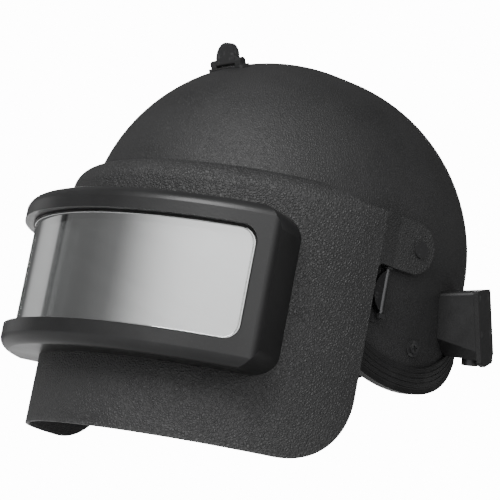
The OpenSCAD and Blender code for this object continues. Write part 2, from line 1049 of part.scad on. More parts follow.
// plan of the left arm from the plate back to the ear
module arm_plan() {
    x0 = sqrt(pow(plate_r, 2) - pow(joggle_y0 - plate_y, 2)) - bite;
    polygon([
        [x0, joggle_y0 - 0.3], [x0, joggle_y0], [ear_x, joggle_y1], [ear_x, 40],
        [ear_in, 40], [ear_in, joggle_y1 - 0.6], [x0 - plate_t + 2 * bite, joggle_y0],
        [x0 - plate_t + 2 * bite, joggle_y0 - 0.3]
    ]);
}

// section across the left arm, rounded over at the top like the plate's shoulder
module arm_section() {
    xc = sqrt(pow(plate_r, 2) - pow(joggle_y0 - plate_y, 2)) - brow_r;
    square([xc + brow_r, brow_start_z + 1]);
    translate([xc, brow_start_z + 1])
        circle(r = brow_r);
}

module visor_plate() {
    color([0.2, 0.2, 0.21]) {
        difference() {
            union() {
                difference() {
                    intersection() {
                        plate_form(0);
                        side_prism(big)
                            plate_outline();
                    }
                    plate_form(plate_t);
                    body(-brow_gap);
                }
                both()
                    intersection() {
                        linear_extrude(height = 200)
                            arm_plan();
                        side_prism(big)
                            arm_outline();
                        translate([0, 60, 0])
                            rotate([90, 0, 0])
                                linear_extrude(height = 100)
                                    arm_section();
                    }
            }
            both()
                x_rod(rod_x0, rod_x1, pivot_y, pivot_z, bush_r + 0.02);
            window_block(bezel_r0 - 5, plate_r + 5, clear_z0, clear_z1, clear_a, clear_r);
            at_frame_screws()
                cylinder(r = screw_r + gap, h = 300);
            at_bezel_screws()
                cylinder(r = 0.82, h = 300);
        }
    }
}

// a block curved about the plate's axis: radii, heights, half angle and corner radius
module window_block(r0, r1, z0, z1, a, rc) {
    translate([0, plate_y, 0])
        difference() {
            rotate([0, 0, -90 - a])
                rotate_extrude(angle = 2 * a)
                    translate([r0, z0])
                        square([r1 - r0, z1 - z0]);
            for (s = [0, 1])
                mirror([s, 0, 0])
                    rotate([0, 0, a - 90])
                        rotate([90, 0, 90])
                            linear_extrude(height = 200) {
                                corner_cut([-rc, z0 + rc], rc, 1, -1);
                                corner_cut([-rc, z1 - rc], rc, 1, 1);
                            }
        }
}

// plan position of a point at radius r and angle a from the front, about the plate's axis
function at_angle(r, a) = [r * sin(a), -r * cos(a)];

// children at each screw of the frame, pointing outward from the plate's axis
module at_frame_screws() {
    for (p = screw_rows, s = [-1, 1])
        translate([0, plate_y, p[1]])
            rotate([0, 0, s * p[0] - 90])
                rotate([0, 90, 0])
                    children();
}

// children at each screw of the inner bezel, pointing outward from the plate's axis
module at_bezel_screws() {
    for (a = [-44, -15, 15, 44], z = [bezel_z0 + 1.5, bezel_z1 - 1.5])
        translate([0, plate_y, z])
            rotate([0, 0, a - 90])
                rotate([0, 90, 0])
                    children();
}

// plan of the window frame from the middle out past its front, with rounded front side edges
module frame_plan() {
    p1 = at_angle(plate_r, frame_a_base);
    p2 = at_angle(frame_r, frame_a_front);
    d = (p2 - p1) / norm(p2 - p1);
    n = [-d[1], d[0]];
    q = p1 - frame_edge_r * n;
    b = q[0] * d[0] + q[1] * d[1];
    s = -b + sqrt(b * b - q * q + pow(frame_r - frame_edge_r, 2));
    c = q + s * d;
    m = c / norm(c);
    e = p1 - 12 * d;
    f = p2 + 12 * d;
    difference() {
        polygon([[0, 0], e, f, [f[0], -big], [-f[0], -big], [-f[0], f[1]], [-e[0], e[1]]]);
        for (k = [0, 1])
            mirror([k, 0])
                difference() {
                    polygon([c, c + 20 * n, c + 20 * (n + m), c + 20 * m]);
                    translate(c)
                        circle(r = frame_edge_r + bite);
                }
    }
}

// prisms along the frame's sides that round its outer corners
module frame_corners() {
    p1 = at_angle(plate_r, frame_a_base);
    p2 = at_angle(frame_r, frame_a_front);
    a = atan2(p2[1] - p1[1], p2[0] - p1[0]);
    rc = frame_corner_r;
    for (s = [0, 1])
        mirror([s, 0, 0])
            translate([p1[0], p1[1], 0])
                rotate([0, 0, a])
                    translate([-20, 0, 0])
                        rotate([90, 0, 90])
                            linear_extrude(height = 80) {
                                corner_cut([-rc, frame_z0 + rc], rc, 1, -1);
                                corner_cut([-rc, frame_z1 - rc], rc, 1, 1);
                            }
}

module window_frame() {
    edge_x = frame_r - frame_edge_r;
    color([0.28, 0.28, 0.3]) {
        difference() {
            translate([0, plate_y, 0])
                difference() {
                    intersection() {
                        rotate_extrude()
                            difference() {
                                translate([plate_r + run, frame_z0])
                                    square([frame_depth - run, frame_z1 - frame_z0]);
                                corner_cut([edge_x, frame_z0 + frame_edge_r], frame_edge_r, 1, -1);
                                corner_cut([edge_x, frame_z1 - frame_edge_r], frame_edge_r, 1, 1);
                            }
                        linear_extrude(height = 200)
                            frame_plan();
                    }
                    frame_corners();
                }
            window_block(plate_r - 10, frame_r + 10, win_z0, win_z1, win_a, win_corner_r);
            window_block(plate_r - 5, pocket_r1, pocket_z0, pocket_z1, pocket_a, pocket_r);
            at_frame_screws()
                cylinder(r = screw_r + 0.02, h = plate_r + screw_len + 1);
        }
    }
}

module window_glass() {
    color([0.6, 0.65, 0.68]) {
        window_block(glass_r - glass_t, glass_r, glass_z0, glass_z1, glass_a, glass_corner_r);
    }
}

module window_seal() {
    color([0.05, 0.05, 0.05]) {
        difference() {
            window_block(glass_r + run, seal_r1, glass_z0, glass_z1, glass_a, glass_corner_r);
            window_block(plate_r, frame_r, seal_z0, seal_z1, win_a - 0.45, win_corner_r - seal_show);
        }
    }
}

module glass_gasket() {
    color([0.05, 0.05, 0.05]) {
        difference() {
            window_block(plate_r + run, gasket_r1, glass_z0, glass_z1, glass_a, glass_corner_r);
            window_block(bezel_r0 - 5, plate_r + 5, clear_z0, clear_z1, clear_a, clear_r);
        }
    }
}

module inner_pane() {
    color([0.7, 0.72, 0.74]) {
        window_block(pane_r0, pane_r0 + pane_t, pane_z0, pane_z1, pane_a, 8);
    }
}

module inner_bezel() {
    color([0.15, 0.15, 0.16]) {
        difference() {
            window_block(bezel_r0, plate_r - plate_t - run, bezel_z0, bezel_z1, bezel_a, 12);
            window_block(bezel_r0 - 5, plate_r + 5, clear_z0, clear_z1, clear_a, clear_r);
            window_block(pane_r0 - run, plate_r, pane_z0 - gap, pane_z1 + gap, pane_a + gap, 8);
            at_bezel_screws() {
                cylinder(r = 0.9, h = plate_r + 5);
                cylinder(r = 1.4, h = bezel_r0 + 0.9);
            }
        }
    }
}

module frame_screws() {
    color([0.3, 0.3, 0.32]) {
        at_frame_screws() {
            translate([0, 0, plate_r - plate_t - screw_head_t - gap])
                cylinder(r = screw_head_r, h = screw_head_t);
            translate([0, 0, plate_r - plate_t - screw_head_t])
                cylinder(r = screw_r, h = screw_head_t + plate_t + screw_len);
        }
    }
}

module bezel_screws() {
    color([0.3, 0.3, 0.32]) {
        at_bezel_screws() {
            translate([0, 0, bezel_r0 + 0.1])
                cylinder(r = 1.3, h = 0.8);
            translate([0, 0, bezel_r0 + 0.1])
                cylinder(r = 0.8, h = 5.6);
        }
    }
}

module brow_strip() {
    color([0.06, 0.06, 0.06]) {
        window_block(strip_r0, plate_r - plate_t - run, strip_z0, strip_z1, clear_a, 2);
    }
}

outer_shell();
inner_liner();
edge_trim();
front_pad();
rear_pad();
side_pads();
top_pad();
strap_bolts();
strap_washers();
strap_nuts();
strap_left();
strap_right();
strap_plates();
buckle_socket();
buckle_prong();
chin_cup();
pivot_bolts();
pivot_washers();
pivot_nuts();
latch_base();
latch_rivets();
latch_pin();
latch_tab();
catch_bracket();
catch_rivets();
catch_pin();
catch_blade();
box_housing();
box_cover();
box_screws();
box_socket();
box_board();
box_bolts();
visor_plate();
pivot_bushes();
window_frame();
window_glass();
window_seal();
glass_gasket();
inner_pane();
inner_bezel();
frame_screws();
bezel_screws();
brow_strip();
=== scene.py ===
"""Looks of a ballistic helmet with a swing-up armoured visor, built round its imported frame.

Lengths are metres in the frame of the CAD model: front is -Y, the wearer's left is +X, up is +Z.
"""

import logging
import math
from dataclasses import dataclass, field
from enum import Enum
from functools import partialmethod

import bmesh
import bpy
from mathutils import Matrix, Vector
from mathutils.bvhtree import BVHTree


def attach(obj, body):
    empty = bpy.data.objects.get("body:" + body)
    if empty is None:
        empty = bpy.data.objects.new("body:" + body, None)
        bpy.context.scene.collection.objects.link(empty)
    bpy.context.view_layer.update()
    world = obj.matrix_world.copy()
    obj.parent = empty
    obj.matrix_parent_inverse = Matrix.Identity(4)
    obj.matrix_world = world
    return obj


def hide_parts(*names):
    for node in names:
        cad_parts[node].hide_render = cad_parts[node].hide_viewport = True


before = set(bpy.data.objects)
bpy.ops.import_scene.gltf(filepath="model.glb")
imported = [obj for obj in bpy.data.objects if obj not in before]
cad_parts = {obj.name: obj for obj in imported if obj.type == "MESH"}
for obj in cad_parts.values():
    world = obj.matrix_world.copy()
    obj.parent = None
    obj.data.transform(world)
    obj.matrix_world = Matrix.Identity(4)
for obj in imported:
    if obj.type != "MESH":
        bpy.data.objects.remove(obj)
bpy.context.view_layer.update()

LOG = logging.getLogger("helmet")
MM = 0.001
DOME_Z = 147 * MM
LINER_INNER = 113 * MM
DOME_FRONT_Y = -5.35 * MM
DOME_REAR_Y = 9.15 * MM
LONG_EDGE = 4 * MM
# Sockets of the Texture Coordinate and Mix nodes, by number
OBJECT_PLACE, UV_PLACE = 3, 2
MIX_COLOURS, MIXED_COLOUR = (6, 7), 2
Pair = tuple[float, float]
Triple = tuple[float, float, float]
Colour = Triple
Sockets = dict[str, object]


class Body(Enum):
    """The bodies that new pieces ride on."""

    HELMET = "helmet"
    VISOR = "visor"


class Side(Enum):
    """The side of the helmet, as the sign of X."""

    LEFT = 1
    RIGHT = -1


@dataclass(frozen=True)
class Wire:
    """A node's output that adds Math nodes when it is used in an expression."""

    recipe: "Recipe"
    socket: bpy.types.NodeSocket

    def then(self, operation: str, *others: "Wire | float") -> "Wire":
        """Adds a Math node that takes this value and then the others."""
        inputs = dict(enumerate((self, *others)))
        return self.recipe.node("ShaderNodeMath", {"operation": operation}, inputs)

    def after(self, operation: str, other: float) -> "Wire":
        """Adds a Math node that takes the other value and then this one."""
        return self.recipe.node("ShaderNodeMath", {"operation": operation}, {0: other, 1: self})

    __add__ = partialmethod(then, "ADD")
    __radd__ = partialmethod(after, "ADD")
    __sub__ = partialmethod(then, "SUBTRACT")
    __rsub__ = partialmethod(after, "SUBTRACT")
    __mul__ = partialmethod(then, "MULTIPLY")
    __rmul__ = partialmethod(after, "MULTIPLY")
    __truediv__ = partialmethod(then, "DIVIDE")
    __pow__ = partialmethod(then, "POWER")
    __abs__ = partialmethod(then, "ABSOLUTE")
    sine = partialmethod(then, "SINE")
    larger = partialmethod(then, "MAXIMUM")
    smaller = partialmethod(then, "MINIMUM")

    def ease(self, low: float, high: float) -> "Wire":
        """Rises smoothly from 0 where the value is low to 1 where it is high."""
        settings = {"interpolation_type": "SMOOTHSTEP"}
        inputs = {"Value": self, "From Min": low, "From Max": high}
        return self.recipe.node("ShaderNodeMapRange", settings, inputs)


@dataclass(frozen=True)
class Recipe:
    """Writes the nodes of one tree, a material's or the world's."""

    tree: bpy.types.NodeTree

    def node(
        self,
        kind: str,
        settings: dict[str, object] | None = None,
        inputs: dict[str | int, object] | None = None,
        output: int = 0,
    ) -> Wire:
        """Adds one node.

        Args:
            kind: the node's type.
            settings: its properties.
            inputs: values or wires for its sockets, by name or number.
            output: the number of the output that is wanted.

        Returns:
            That output.
        """
        made = self.tree.nodes.new(kind)
        for key, value in (settings or {}).items():
            setattr(made, key, value)
        self.feed(made, inputs or {})
        return Wire(self, made.outputs[output])

    def feed(self, made: bpy.types.Node, inputs: dict[str | int, object]) -> None:
        """Sets or links a node's sockets, by name or number."""
        for key, value in inputs.items():
            if isinstance(value, Wire):
                self.tree.links.new(value.socket, made.inputs[key])
            else:
                made.inputs[key].default_value = value

    def place(self) -> Wire:
        """The point's place on the object."""
        return self.node("ShaderNodeTexCoord", output=OBJECT_PLACE)

    def axes(self, vector: Wire) -> tuple[Wire, Wire, Wire]:
        """A vector's X, Y and Z."""
        x = self.node("ShaderNodeSeparateXYZ", None, {0: vector})
        outputs = x.socket.node.outputs
        return x, Wire(self, outputs[1]), Wire(self, outputs[2])

    def cloth_place(self) -> tuple[Wire, Wire]:
        """The place along and across a woven piece, in metres, from its UV map."""
        along, across, _ = self.axes(self.node("ShaderNodeTexCoord", output=UV_PLACE))
        return along, across

    def noise(
        self, at: Wire, scale: float, detail: float = 3, rough: float = 0.5, output: int = 0
    ) -> Wire:
        """A Noise texture.

        Args:
            at: the coordinates.
            scale: features per metre.
            detail: its finer layers.
            rough: the strength of the finer layers.
            output: 0 for the value, 1 for the colour.

        Returns:
            The chosen output.
        """
        inputs = {"Vector": at, "Scale": scale, "Detail": detail, "Roughness": rough}
        return self.node("ShaderNodeTexNoise", None, inputs, output)

    def cells(self, at: Wire, scale: float, feature: str = "F1") -> Wire:
        """The distance output of a Voronoi texture with so many cells per metre."""
        inputs = {"Vector": at, "Scale": scale}
        return self.node("ShaderNodeTexVoronoi", {"feature": feature}, inputs)

    def vector(self, operation: str, a: Wire, b: object) -> Wire:
        """Adds one Vector Math node; b is a vector, or the factor of SCALE."""
        key = 3 if operation == "SCALE" else 1
        return self.node("ShaderNodeVectorMath", {"operation": operation}, {0: a, key: b})

    def blend(self, factor: Wire, low: Colour | Wire, high: Colour | Wire) -> Wire:
        """Mixes two colours: low where the factor is 0, high where it is 1."""
        ends = [value if isinstance(value, Wire) else (*value, 1) for value in (low, high)]
        inputs = {0: factor, MIX_COLOURS[0]: ends[0], MIX_COLOURS[1]: ends[1]}
        return self.node("ShaderNodeMix", {"data_type": "RGBA"}, inputs, MIXED_COLOUR)

    def relief(self, height: Wire, depth: float, strength: float) -> Wire:
        """The normal of a Bump node, where a height of 1 stands depth metres tall."""
        inputs = {"Strength": strength, "Distance": depth, "Height": height}
        return self.node("ShaderNodeBump", None, inputs)


@dataclass(frozen=True)
class Finish:
    """What every finish has: a name, a colour, a roughness and a specular level."""

    name: str
    colour: Colour
    roughness: float = 0.5
    specular: float = field(default=0.3, kw_only=True)

    def sockets(self, recipe: Recipe) -> Sockets:
        """The shader's sockets.

        Args:
            recipe: the material's node tree.

        Returns:
            Values or wires by socket name.
        """
        raise NotImplementedError

    def uneven(self, noise: Wire, reach: float) -> Wire:
        """The roughness, moved both ways by a noise that runs from 0 to 1."""
        return self.roughness + (noise - 0.5) * reach

    @staticmethod
    def surface(colour: object, rough: Wire, normal: Wire) -> Sockets:
        """The sockets that most finishes set."""
        return {"Base Color": colour, "Roughness": rough, "Normal": normal}

    def tint(self, factor: float) -> Colour:
        """The finish's colour made lighter or darker by a factor."""
        return tuple(min(1.0, channel * factor) for channel in self.colour)

    def material(self) -> bpy.types.Material:
        """Makes the material."""
        material = bpy.data.materials.new(self.name)
        material.use_nodes = True
        recipe = Recipe(material.node_tree)
        sockets = {"Specular IOR Level": self.specular, **self.sockets(recipe)}
        recipe.feed(material.node_tree.nodes["Principled BSDF"], sockets)
        return material


@dataclass(frozen=True)
class WrinkleCoat(Finish):
    """A matte textured paint that dries in fine leathery wrinkles."""

    cell: float = 1.9 * MM
    depth: float = 0.5 * MM
    rim_z: float = -1.0
    rim_rub: float = 3.2 * MM
    bend: float = 1.6

    def sockets(self, recipe: Recipe) -> Sockets:
        """See Finish."""
        at = recipe.place()
        warp = recipe.noise(at, 330, 2, output=1)
        centred = recipe.vector("SUBTRACT", warp, (0.5, 0.5, 0.5))
        bent = recipe.vector("ADD", at, recipe.vector("SCALE", centred, self.bend * self.cell))
        pebble = recipe.cells(bent, 1 / self.cell, "DISTANCE_TO_EDGE").ease(0.0, 0.34)
        grit = recipe.noise(at, 2400, 2)
        cloud = recipe.noise(at, 21, 4, 0.6)
        smear = recipe.noise(at, 140, 3, 0.55)
        height = pebble * 0.72 + grit * 0.28
        # Painted shade: the pebbles' creases are darker and their tops lighter, following the
        # relief.
        base = recipe.blend(pebble, self.tint(0.6), self.tint(1.15))
        tone = recipe.blend(cloud.ease(0.3, 0.72), base, self.colour)
        scuff = smear.ease(0.62, 0.78) * 0.22
        _, _, z = recipe.axes(at)
        rubbed = 1 - z.ease(self.rim_z, self.rim_z + self.rim_rub)
        worn = (scuff + rubbed * recipe.noise(at, 700, 4).ease(0.45, 0.62)).smaller(1.0)
        colour = recipe.blend(worn, tone, self.tint(1.9))
        rough = self.uneven(cloud, 0.16) - pebble * 0.05
        return self.surface(colour, rough, recipe.relief(height, self.depth, strength=0.9))


@dataclass(frozen=True)
class SatinPaint(Finish):
    """A smooth satin paint with a faint orange peel and dust."""

    peel: float = 0.04 * MM
    dust: Colour = (0.08, 0.08, 0.078)

    def sockets(self, recipe: Recipe) -> Sockets:
        """See Finish."""
        at = recipe.place()
        peel = recipe.noise(at, 620, 2)
        cloud = recipe.noise(at, 30, 5, 0.62)
        dust = recipe.noise(at, 1900).ease(0.6, 0.74)
        colour = recipe.blend(cloud.ease(0.35, 0.7), self.tint(0.9), self.tint(1.12))
        dusty = recipe.blend(dust * 0.16, colour, self.dust)
        rough = self.uneven(cloud, 0.14)
        return self.surface(dusty, rough, recipe.relief(peel, self.peel, strength=0.5))


@dataclass(frozen=True)
class RibbedRubber(Finish):
    """Black edge rubber with fine ribs that follow the shell's edge."""

    pitch: float = 1.15 * MM
    rib: float = 0.16 * MM
    plain: Pair = (1.4 * MM, 2.6 * MM)
    dust: Colour = (0.03, 0.03, 0.0295)
    flap_y: float = 21.5 * MM
    flap_z: float = 156 * MM
    flap_r: float = 97 * MM
    brow_z: float = 152 * MM
    nape_z: float = 94 * MM

    def sockets(self, recipe: Recipe) -> Sockets:
        """See Finish."""
        at = recipe.place()
        _, y, z = recipe.axes(at)
        dy, dz = y - self.flap_y, z - self.flap_z
        flap = self.flap_r - (dy * dy + dz * dz) ** 0.5
        rear = dy.ease(-MM, MM)
        edge = self.brow_z + (self.nape_z - self.brow_z) * rear
        inside = flap.larger(z - edge)
        rib = (inside * (math.tau / self.pitch)).sine() * 0.5 + 0.5
        band = inside.ease(*self.plain)
        speck = recipe.noise(at, 1500)
        cloud = recipe.noise(at, 60, 4)
        height = rib * band * 0.85 + speck * 0.15
        # Painted shade and highlight: the grooves between the ribs are darker and the rib crests
        # lighter.
        tone = recipe.blend(rib * band, self.tint(0.7), self.tint(1.35))
        colour = recipe.blend(cloud.ease(0.45, 0.75) * 0.35, tone, self.dust)
        rough = self.uneven(cloud, 0.2)
        return self.surface(colour, rough, recipe.relief(height, self.rib, strength=0.7))


@dataclass(frozen=True)
class SoftRubber(Finish):
    """Smooth seal rubber with bloom and fine pores."""

    pore: float = 0.05 * MM

    def sockets(self, recipe: Recipe) -> Sockets:
        """See Finish."""
        at = recipe.place()
        bloom = recipe.noise(at, 90, 4, 0.6)
        pores = recipe.cells(at, 1700)
        colour = recipe.blend(bloom.ease(0.45, 0.75) * 0.5, self.colour, self.tint(2.6))
        rough = self.uneven(bloom, 0.2)
        return self.surface(colour, rough, recipe.relief(pores, self.pore, strength=0.4))


@dataclass(frozen=True)
class Webbing(Finish):
    """Flat woven strap: a herringbone of yarns with woven edges."""

    yarn: float = 1.1 * MM
    half: float = 10 * MM
    selvedge: float = 2 * MM
    seam: float = 0.4 * MM
    depth: float = 0.3 * MM

    def sockets(self, recipe: Recipe) -> Sockets:
        """See Finish."""
        along, across = recipe.cloth_place()
        lean = abs(across)
        warp = (across * (math.tau / self.yarn)).sine() * 0.5 + 0.5
        twill = ((along + lean * 0.9) * (math.tau / (2.1 * self.yarn))).sine() * 0.5 + 0.5
        at = recipe.place()
        fuzz = recipe.noise(at, 3200)
        inner = self.half - self.selvedge
        border = lean.ease(inner, inner + self.seam)
        height = (warp * 0.45 + twill * 0.55) * (1 - border * 0.5) + fuzz * 0.2
        # Painted shade: the weave is darker where its height is low, between the yarns, and
        # lighter on their tops.
        colour = recipe.blend(height.ease(0.2, 0.95), self.tint(0.45), self.tint(1.5))
        worn = recipe.noise(at, 45, 4).ease(0.5, 0.8) * 0.3
        faded = recipe.blend(worn, colour, self.tint(2.6))
        normal = recipe.relief(height, self.depth, strength=0.8)
        sockets = self.surface(faded, self.uneven(fuzz, 0.2), normal)
        return {**sockets, "Sheen Weight": 0.25, "Sheen Roughness": 0.4}


@dataclass(frozen=True)
class PadCloth(Finish):
    """A knitted spacer cloth over foam: rows of small open cells."""

    mesh: float = 2.3 * MM
    depth: float = 0.35 * MM

    def sockets(self, recipe: Recipe) -> Sockets:
        """See Finish."""
        at = recipe.place()
        x, y, z = (axis * (math.tau / self.mesh) for axis in recipe.axes(at))
        knit = (x.sine() * y.sine() + y.sine() * z.sine() + z.sine() * x.sine()) / 3 + 0.5
        holes = 1 - knit.ease(0.3, 0.5)
        fibre = recipe.noise(at, 4200, 3, 0.7)
        wear = recipe.noise(at, 38, 5, 0.6)
        # Painted shade: the open cells of the knit are darkened.
        colour = recipe.blend(holes, self.colour, self.tint(0.32))
        rubbed = recipe.blend(wear.ease(0.5, 0.75) * 0.4, colour, self.tint(1.8))
        height = knit * 0.7 + fibre * 0.3
        normal = recipe.relief(height, self.depth, strength=0.7)
        sockets = self.surface(rubbed, self.uneven(fibre, 0.18), normal)
        return {**sockets, "Sheen Weight": 0.4, "Sheen Roughness": 0.5}


@dataclass(frozen=True)
class Leather(Finish):
    """Grained leather with creases and handling shine; its colour has painted shade in the
    creases and a painted sheen where it shines.
    """

    grain: float = 1.3 * MM
    depth: float = 0.16 * MM

    def sockets(self, recipe: Recipe) -> Sockets:
        """See Finish."""
        at = recipe.place()
        pebble = recipe.cells(at, 1 / self.grain, "DISTANCE_TO_EDGE").ease(0.0, 0.24)
        crease = abs(recipe.noise(at, 120, 5, 0.62) - 0.5).ease(0.0, 0.045)
        shine = recipe.noise(at, 55, 4).ease(0.4, 0.7)
        height = pebble * 0.55 + crease * 0.45
        # Painted shade: darker where the grain and the creases are low.
        colour = recipe.blend(height.ease(0.2, 0.95), self.tint(0.45), self.colour)
        # Painted sheen: lighter where the handling shine also lowers the roughness.
        rubbed = recipe.blend(shine * 0.4, colour, self.tint(1.7))
        rough = self.roughness - shine * 0.15
        return self.surface(rubbed, rough, recipe.relief(height, self.depth, strength=0.6))


@dataclass(frozen=True)
class MouldedPlastic(Finish):
    """Moulded plastic with a spark-eroded grain and rubbed patches."""

    grain: float = 0.7 * MM
    depth: float = 0.06 * MM

    def sockets(self, recipe: Recipe) -> Sockets:
        """See Finish."""
        at = recipe.place()
        erosion = recipe.cells(at, 1 / self.grain, "SMOOTH_F1")
        fine = recipe.noise(at, 2600)
        patch = recipe.noise(at, 75, 4, 0.6)
        colour = recipe.blend(patch.ease(0.4, 0.72), self.tint(0.86), self.tint(1.22))
        rough = self.uneven(patch, 0.22) + (fine - 0.5) * 0.08
        height = erosion * 0.6 + fine * 0.4
        return self.surface(colour, rough, recipe.relief(height, self.depth, strength=0.6))


@dataclass(frozen=True)
class Steel(Finish):
    """Turned or blackened steel with brush lines and rubbed spots."""

    bare: Colour = (0.45, 0.45, 0.46)
    wear: float = 0.25
    metal: float = 1.0
    along: float = 30
    across: float = 900
    depth: float = 0.05 * MM

    def sockets(self, recipe: Recipe) -> Sockets:
        """See Finish."""
        at = recipe.place()
        x, y, z = recipe.axes(at)
        drawn = {0: x * self.along, 1: y * self.across, 2: z * self.across}
        lines = recipe.noise(recipe.node("ShaderNodeCombineXYZ", None, drawn), 1, 4)
        spots = recipe.noise(at, 260, 4, 0.65)
        bare = spots.ease(0.56, 0.7) * self.wear
        colour = recipe.blend(bare, self.colour, self.bare)
        rough = self.uneven(lines, 0.22) - bare * 0.1
        normal = recipe.relief(lines * 0.6 + spots * 0.4, self.depth, strength=0.5)
        return {**self.surface(colour, rough, normal), "Metallic": self.metal}


@dataclass(frozen=True)
class ArmourGlass(Finish):
    """Thick laminated glass with a half-silvered sun coat on its face."""

    mirror: float = 0.62
    index: float = 1.52
    along: float = 5
    across: float = 120
    slant: float = 0.35
    depth: float = 0.1 * MM

    def sockets(self, recipe: Recipe) -> Sockets:
        """See Finish."""
        at = recipe.place()
        x, y, z = recipe.axes(at)
        drawn = {0: x * self.along, 1: y * self.along, 2: (z + x * self.slant) * self.across}
        streaks = recipe.noise(recipe.node("ShaderNodeCombineXYZ", None, drawn), 1, 4, 0.6)
        film = recipe.noise(at, 16)
        metal = self.mirror + (streaks - 0.5) * 0.14 + (film - 0.5) * 0.1
        rough = self.roughness + streaks.ease(0.5, 0.8) * 0.05
        normal = recipe.relief(recipe.noise(at, 22, 1), self.depth, strength=0.3)
        sockets = self.surface((*self.colour, 1), rough, normal)
        return {**sockets, "Metallic": metal, "Transmission Weight": 1.0, "IOR": self.index}


@dataclass(frozen=True)
class ClearPane(Finish):
    """Clear polycarbonate with fine wiping scratches."""

    index: float = 1.58
    depth: float = 0.01 * MM

    def sockets(self, recipe: Recipe) -> Sockets:
        """See Finish."""
        at = recipe.place()
        smear = recipe.noise(at, 55, 4, 0.6)
        scratches = recipe.noise(at, 900, 2).ease(0.62, 0.7)
        rough = self.roughness + smear.ease(0.45, 0.8) * 0.06
        normal = recipe.relief(scratches, self.depth, strength=0.3)
        sockets = self.surface((*self.colour, 1), rough, normal)
        return {**sockets, "Transmission Weight": 1.0, "IOR": self.index}


@dataclass(frozen=True)
class AramidWeave(Finish):
    """Plain-woven aramid cloth set in resin."""

    yarn: float = 1.7 * MM
    depth: float = 0.2 * MM

    def sockets(self, recipe: Recipe) -> Sockets:
        """See Finish."""
        at = recipe.place()
        x, y, z = recipe.axes(at)
        round_it = x.then("ARCTAN2", y) * (LINER_INNER / self.yarn * math.pi)
        up = z * (math.pi / self.yarn)
        over = round_it.sine() * up.sine() * 0.5 + 0.5
        resin = recipe.noise(at, 70, 4, 0.6)
        # Painted shade: the weave is darker where the yarns dip under and lighter where they lie
        # over.
        colour = recipe.blend(over.ease(0.3, 0.7), self.tint(0.55), self.tint(1.25))
        glazed = recipe.blend(resin.ease(0.5, 0.75) * 0.4, colour, self.tint(0.6))
        rough = self.roughness - resin.ease(0.45, 0.7) * 0.2
        return self.surface(glazed, rough, recipe.relief(over, self.depth, strength=0.6))


@dataclass(frozen=True)
class Lacquer(Finish):
    """Solder lacquer over the copper lands of a board."""

    rows: float = 2400
    breaks: float = 700
    depth: float = 0.04 * MM

    def sockets(self, recipe: Recipe) -> Sockets:
        """See Finish."""
        at = recipe.place()
        _, y, z = recipe.axes(at)
        rows = (y * self.rows).sine().ease(0.5, 0.7)
        lands = rows * (z * self.breaks).sine().ease(-0.2, 0.1)
        gloss = recipe.noise(at, 180)
        colour = recipe.blend(lands, self.colour, self.tint(1.9))
        rough = self.uneven(gloss, 0.2)
        return self.surface(colour, rough, recipe.relief(lands, self.depth, strength=0.5))


@dataclass(frozen=True)
class FloorPaper(Finish):
    """Plain pale paper with a faint cloud."""

    def sockets(self, recipe: Recipe) -> Sockets:
        """See Finish."""
        haze = recipe.noise(recipe.place(), 3)
        colour = recipe.blend(haze, self.colour, self.tint(1.05))
        return {"Base Color": colour, "Roughness": self.roughness}


FINISHES: dict[str, Finish] = {
    finish.name: finish
    for finish in (
        WrinkleCoat("shell_coat", (0.018, 0.018, 0.0183), 0.55, 1.5 * MM, 0.26 * MM),
        WrinkleCoat("visor_coat", (0.024, 0.024, 0.0243), 0.48, 1.8 * MM, 0.55 * MM, 0.0),
        AramidWeave("liner_aramid", (0.13, 0.12, 0.09), 0.62),
        RibbedRubber("trim_rubber", (0.008, 0.008, 0.0082), 0.45),
        PadCloth("pad_fabric", (0.03, 0.031, 0.034), 0.85),
        Webbing("webbing", (0.014, 0.014, 0.015), 0.8),
        Leather("cup_leather", (0.032, 0.026, 0.022), 0.55),
        MouldedPlastic("buckle_plastic", (0.02, 0.02, 0.0204), 0.42),
        Steel("steel", (0.06, 0.06, 0.0615), 0.42, (0.26, 0.26, 0.26), 0.5),
        Steel("dark_steel", (0.045, 0.045, 0.046), 0.45, (0.2, 0.2, 0.2), 0.35, 0.7),
        MouldedPlastic("washer_plastic", (0.42, 0.4, 0.34), 0.45),
        MouldedPlastic("box_plastic", (0.009, 0.009, 0.0093), 0.5, 0.9 * MM, 0.12 * MM),
        Lacquer("board", (0.02, 0.09, 0.035), 0.3),
        Steel("connector", (0.05, 0.05, 0.052), 0.38, (0.45, 0.42, 0.34), 0.3, 0.8),
        SatinPaint("frame_paint", (0.013, 0.013, 0.0133), 0.34, 0.09 * MM),
        ArmourGlass("armour_glass", (0.78, 0.79, 0.79), 0.04),
        ClearPane("clear_pane", (0.93, 0.94, 0.93), 0.02),
        SoftRubber("seal_rubber", (0.006, 0.006, 0.006), 0.5),
    )
}


